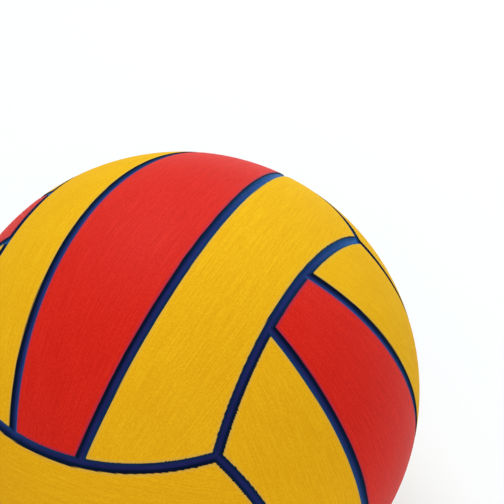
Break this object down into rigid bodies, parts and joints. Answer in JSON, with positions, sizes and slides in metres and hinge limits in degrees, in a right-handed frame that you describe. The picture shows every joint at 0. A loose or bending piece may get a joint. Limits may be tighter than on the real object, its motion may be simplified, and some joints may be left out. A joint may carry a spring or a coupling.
{
  "type": "water polo ball",
  "caption": "Size 5 water polo ball: yellow and red rubber cover panels over a blue foundation that shows in the seams, with a thread winding, an air bladder and a valve with a plug that pulls out.",
  "frame": {"origin": "centre of the ball", "axes": "+Y out of the valve, +Z through the middle of the top face, whose strips run along Y"},
  "size_m": [0.221, 0.2209, 0.221],
  "materials": {
    "cover_yellow": "matte",
    "cover_red": "matte",
    "foundation_blue": "gloss",
    "winding_thread": "matte",
    "butyl_black": "matte",
    "valve_black": "satin",
    "plug_blue": "satin"
  },
  "bodies": {
    "ball": {"panel_top_yellow_left": "cover_yellow", "panel_top_red": "cover_red", "panel_top_yellow_right": "cover_yellow", "panel_bottom_yellow_right": "cover_yellow", "panel_bottom_red": "cover_red", "panel_bottom_yellow_left": "cover_yellow", "panel_right_yellow_front": "cover_yellow", "panel_right_red": "cover_red", "panel_right_yellow_back": "cover_yellow", "panel_left_yellow_back": "cover_yellow", "panel_left_red": "cover_red", "panel_left_yellow_front": "cover_yellow", "panel_back_yellow_lower": "cover_yellow", "panel_back_red": "cover_red", "panel_back_yellow_upper": "cover_yellow", "panel_front_yellow_upper": "cover_yellow", "panel_front_red": "cover_red", "panel_front_yellow_lower": "cover_yellow", "carcass": "foundation_blue", "winding": "winding_thread", "bladder": "butyl_black", "valve_patch": "butyl_black", "valve_housing": "valve_black"},
    "valve": {"valve_core": "plug_blue"}
  },
  "joints": [
    {"name": "valve_pull", "type": "slide", "parent": "ball", "child": "valve", "axis": [0, 1, 0], "range_m": [0, 0.023]}
  ]
}
